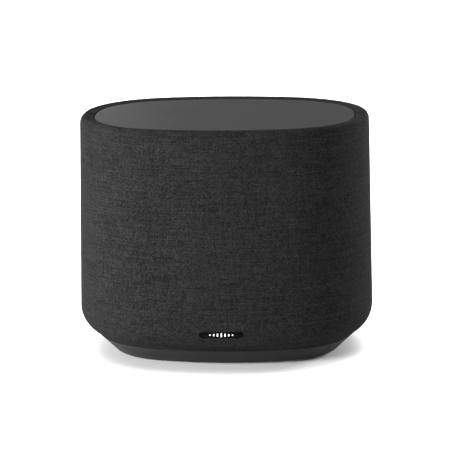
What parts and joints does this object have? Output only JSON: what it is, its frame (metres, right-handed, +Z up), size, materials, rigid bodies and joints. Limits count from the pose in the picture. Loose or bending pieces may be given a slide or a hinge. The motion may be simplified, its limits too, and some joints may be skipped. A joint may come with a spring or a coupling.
{
  "type": "wireless subwoofer",
  "caption": "Soft-oval cloth-wrapped bass loudspeaker with a flush top plate, tapered base skirt, front-firing driver and rear connection panel.",
  "frame": {"origin": "centre of the footprint on the floor", "axes": "+Z up, +X to the object's left-to-right width as seen from the front, the badge faces -Y and the connection panel faces +Y"},
  "size_m": [0.34, 0.262, 0.274],
  "materials": {
    "woven_cloth": "matte melange weave",
    "satin_plastic": "satin",
    "foam": "matte foam",
    "moulded_plastic": "fine matte grain",
    "screw_steel": "black zinc",
    "fibreboard": "raw fibreboard",
    "skirt_plastic": "satin",
    "rubber": "matte",
    "badge_gloss": "gloss",
    "badge_silver": "bright",
    "basket_steel": "black powder coat",
    "cone_paper": "pressed paper",
    "former_film": "amber film",
    "copper": "enamelled copper",
    "spider_cloth": "resin-treated weave",
    "zinc_steel": "zinc plated",
    "ferrite": "ground ferrite",
    "inlet_plastic": "semi-gloss",
    "brass": "bright",
    "button_plastic": "satin",
    "shield_steel": "tinned",
    "clear_plastic": "translucent",
    "circuit_board": "solder mask",
    "aluminium": "mill finish",
    "winding_tape": "polyester tape",
    "capacitor_sleeve": "shrink sleeve",
    "wire_red": "insulation",
    "wire_blue": "insulation",
    "wire_grey": "insulation"
  },
  "bodies": {
    "cabinet": {"cloth_sleeve": "woven_cloth", "top_plate": "satin_plastic", "top_gasket": "foam", "top_frame": "moulded_plastic", "top_screws": "screw_steel", "body_shell": "moulded_plastic", "front_grille": "moulded_plastic", "front_baffle": "fibreboard", "enclosure_floor": "fibreboard", "base_skirt": "skirt_plastic", "bottom_plate": "moulded_plastic", "base_screws": "screw_steel", "feet": "rubber", "badge_plate": "badge_gloss", "badge_mark": "badge_silver", "driver_basket": "basket_steel", "driver_gasket": "foam", "driver_screws": "screw_steel", "surround": "rubber", "spider": "spider_cloth", "pole_plate": "zinc_steel", "magnet": "ferrite", "rear_yoke": "zinc_steel", "terminal_block": "moulded_plastic", "rear_panel": "moulded_plastic", "panel_gasket": "foam", "panel_screws": "screw_steel", "power_inlet": "inlet_plastic", "inlet_pins": "brass", "tact_switch": "shield_steel", "light_pipe": "clear_plastic", "status_led": "clear_plastic", "control_board": "circuit_board", "chassis_plate": "aluminium", "standoffs": "brass", "amplifier_board": "circuit_board", "amplifier_heatsink": "aluminium", "output_inductors": "copper", "wireless_module": "shield_steel", "antenna": "inlet_plastic", "supply_board": "circuit_board", "transformer": "winding_tape", "reservoir_capacitors": "capacitor_sleeve", "board_screws": "screw_steel", "speaker_wires": "wire_red", "mains_wires": "wire_blue", "ribbon_cable": "wire_grey"},
    "cone": {"cone": "cone_paper", "dust_cap": "cone_paper", "coil_former": "former_film", "voice_coil": "copper"},
    "connect_button": {"connect_button": "button_plastic", "switch_plunger": "inlet_plastic"}
  },
  "joints": [
    {"name": "cone_travel", "type": "slide", "parent": "cabinet", "child": "cone", "axis": [0, -1, 0], "range_m": [-0.006, 0.006], "stiffness_N_per_m": 2200, "deforming": ["surround", "spider"]},
    {"name": "connect_button_press", "type": "slide", "parent": "cabinet", "child": "connect_button", "axis": [0, -1, 0], "range_m": [0, 0.0007], "stiffness_N_per_m": 1500, "springref_m": -0.0004}
  ]
}
